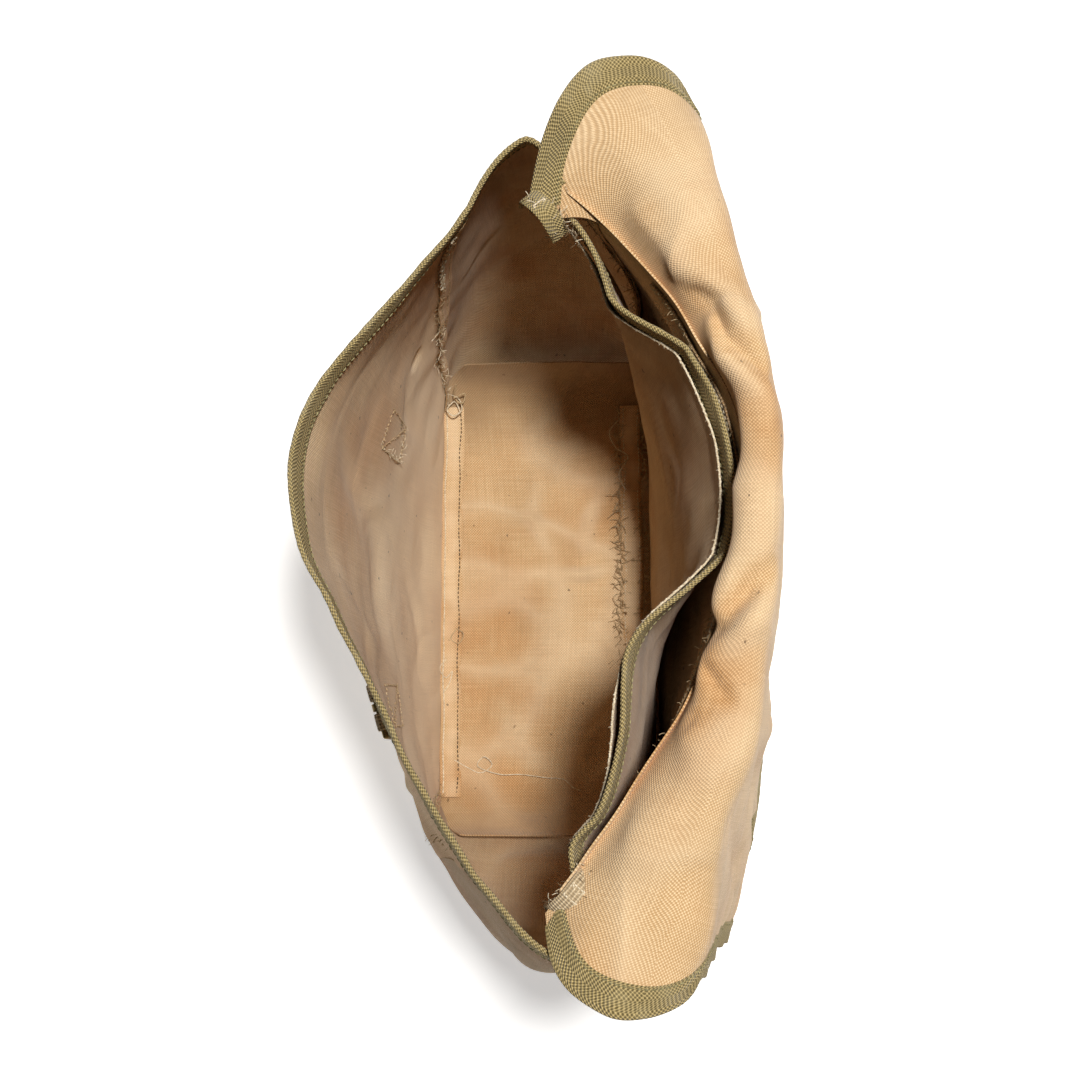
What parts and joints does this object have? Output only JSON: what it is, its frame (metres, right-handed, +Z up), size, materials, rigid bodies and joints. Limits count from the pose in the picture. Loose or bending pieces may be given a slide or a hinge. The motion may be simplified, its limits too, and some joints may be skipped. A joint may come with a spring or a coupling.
{
  "type": "mail sack",
  "caption": "Open canvas mail satchel with a boxy gusseted body, inner divider pocket, taped edges and a wide flap thrown back over the rear.",
  "frame": {"origin": "middle of the underside of the base, where it rests", "axes": "+Z up, +X along the mouth, -Y towards the front, +Y towards the back that carries the flap"},
  "size_m": [0.426, 0.2447, 0.2854],
  "materials": {
    "canvas": "washed cotton duck, khaki",
    "tape": "herringbone cotton tape, olive drab",
    "webbing": "ribbed cotton webbing",
    "hardware": "darkened brass"
  },
  "bodies": {
    "bag": {"base_panel": "canvas", "front_panel": "canvas", "back_panel": "canvas", "left_gusset": "canvas", "right_gusset": "canvas", "mouth_binding": "tape", "divider_panel": "canvas", "divider_binding": "tape", "pocket_panel": "canvas", "back_stay": "canvas", "front_seam_strip": "canvas", "back_seam_strip": "canvas", "left_corner_tab": "webbing", "right_corner_tab": "webbing", "flap_crest": "canvas", "left_ear_binding": "tape", "right_ear_binding": "tape", "left_ring_tab": "webbing", "right_ring_tab": "webbing", "left_buckle_tab": "webbing", "right_buckle_tab": "webbing"},
    "flap_upper": {"flap_upper": "canvas", "left_flap_binding": "tape", "right_flap_binding": "tape"},
    "flap_lower": {"flap_lower": "canvas", "flap_edge_binding": "tape", "left_strap_patch": "webbing", "right_strap_patch": "webbing"},
    "left_strap": {"left_strap": "webbing", "left_strap_tip": "hardware"},
    "left_buckle": {"left_buckle_frame": "hardware"},
    "left_prong": {"left_buckle_prong": "hardware"},
    "left_d_ring": {"left_d_ring": "hardware"},
    "right_strap": {"right_strap": "webbing", "right_strap_tip": "hardware"},
    "right_buckle": {"right_buckle_frame": "hardware"},
    "right_prong": {"right_buckle_prong": "hardware"},
    "right_d_ring": {"right_d_ring": "hardware"}
  },
  "joints": [
    {"name": "flap_hinge", "type": "hinge", "parent": "bag", "child": "flap_upper", "pos_m": [0, 0.11475, 0.2875], "axis": [1, 0, 0], "range_deg": [0, 270]},
    {"name": "flap_fold", "type": "hinge", "parent": "flap_upper", "child": "flap_lower", "pos_m": [0, 0.1293, 0.0565], "axis": [1, 0, 0], "range_deg": [0, 90]},
    {"name": "left_strap_swing", "type": "hinge", "parent": "flap_lower", "child": "left_strap", "pos_m": [-0.077, 0.13016, 0.0069], "axis": [1, 0, 0], "range_deg": [0, 90]},
    {"name": "left_buckle_swing", "type": "hinge", "parent": "bag", "child": "left_buckle", "pos_m": [-0.07734, -0.08906, 0.15642], "axis": [-0.9518, 0.3066, 0], "range_deg": [0, 100]},
    {"name": "left_prong_swing", "type": "hinge", "parent": "left_buckle", "child": "left_prong", "pos_m": [-0.07734, -0.08906, 0.15642], "axis": [-0.9518, 0.3066, 0], "range_deg": [0, 50]},
    {"name": "left_ring_swing", "type": "hinge", "parent": "bag", "child": "left_d_ring", "pos_m": [-0.11911, 0.0643, 0.22761], "axis": [0.8431, 0.5377, 0], "range_deg": [0, 100]},
    {"name": "right_strap_swing", "type": "hinge", "parent": "flap_lower", "child": "right_strap", "pos_m": [0.077, 0.13016, 0.0069], "axis": [1, 0, 0], "range_deg": [0, 90]},
    {"name": "right_buckle_swing", "type": "hinge", "parent": "bag", "child": "right_buckle", "pos_m": [0.07727, -0.08468, 0.15665], "axis": [-0.9571, -0.2898, 0], "range_deg": [0, 100]},
    {"name": "right_prong_swing", "type": "hinge", "parent": "right_buckle", "child": "right_prong", "pos_m": [0.07727, -0.08468, 0.15665], "axis": [-0.9571, -0.2898, 0], "range_deg": [0, 50]},
    {"name": "right_ring_swing", "type": "hinge", "parent": "bag", "child": "right_d_ring", "pos_m": [0.11885, 0.05716, 0.22792], "axis": [0.8789, -0.4771, 0], "range_deg": [0, 100]}
  ]
}
